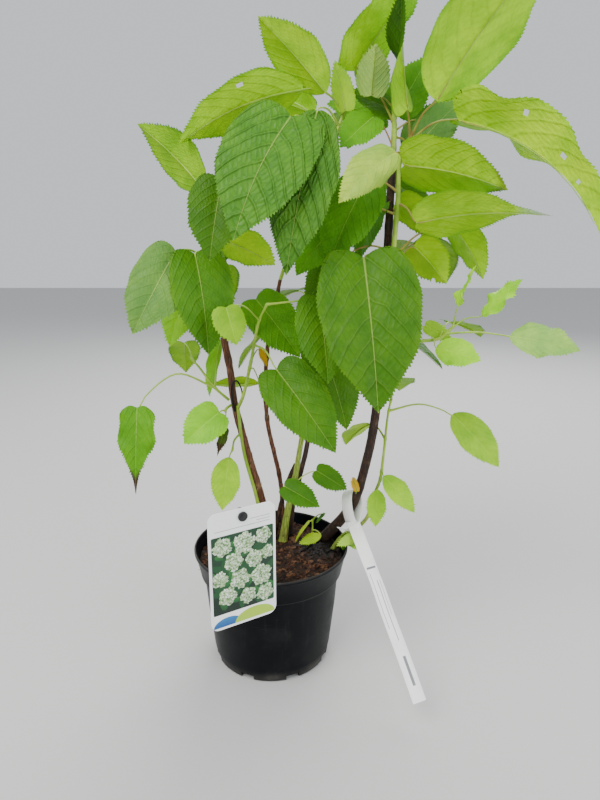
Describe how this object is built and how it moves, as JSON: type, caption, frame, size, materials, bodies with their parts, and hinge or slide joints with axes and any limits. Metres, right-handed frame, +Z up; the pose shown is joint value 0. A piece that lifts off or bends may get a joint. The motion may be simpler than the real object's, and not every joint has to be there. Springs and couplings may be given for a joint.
{
  "type": "potted hydrangea shrub",
  "caption": "Young leafy shrub in a round nursery pot: bare woody canes, a crown of large toothed heart-shaped leaves, a picture label on a stake and a strap tag.",
  "frame": {"origin": "centre of the pot's flat underside", "axes": "+Z up along the plant, -Y towards the front with the label, +X to the front viewer's right, where the crown leans"},
  "size_m": [0.4449, 0.3329, 0.6684],
  "materials": {
    "bark_brown": "rough peeling bark",
    "bark_dark": "rough dark bark",
    "shoot_green": "smooth green stem",
    "leaf_mid": "soft matt leaf",
    "leaf_dark": "soft matt leaf",
    "leaf_light": "soft matt leaf",
    "leaf_pale": "soft matt leaf",
    "pot_plastic": "satin near-black plastic",
    "potting_mix": "loose fibrous mix",
    "label_plastic": "printed white plastic",
    "stake_plastic": "satin black plastic",
    "strap_plastic": "thin white plastic film"
  },
  "bodies": {
    "root": {"cane_left": "bark_brown", "cane_right": "bark_dark", "cane_rear": "bark_brown", "cane_centre": "bark_dark", "cane_broken": "bark_dark", "shoot_centre": "shoot_green", "shoot_low": "shoot_green", "foliage_left": "leaf_mid", "foliage_stalk": "leaf_light", "foliage_upper_left": "leaf_mid", "foliage_centre": "leaf_dark", "foliage_right": "leaf_light", "foliage_top": "leaf_light", "foliage_right_low": "leaf_pale", "foliage_low": "leaf_pale", "foliage_back": "leaf_dark", "foliage_left_low": "leaf_light", "leaf_left_small": "leaf_pale", "leaf_left_hanging": "leaf_pale", "leaf_centre_low": "leaf_light", "leaf_basal": "leaf_pale", "leaf_rim": "leaf_pale", "pot": "pot_plastic", "potting_mix": "potting_mix", "label_card": "label_plastic", "label_stake": "stake_plastic", "strap_tag": "strap_plastic"}
  },
  "joints": []
}
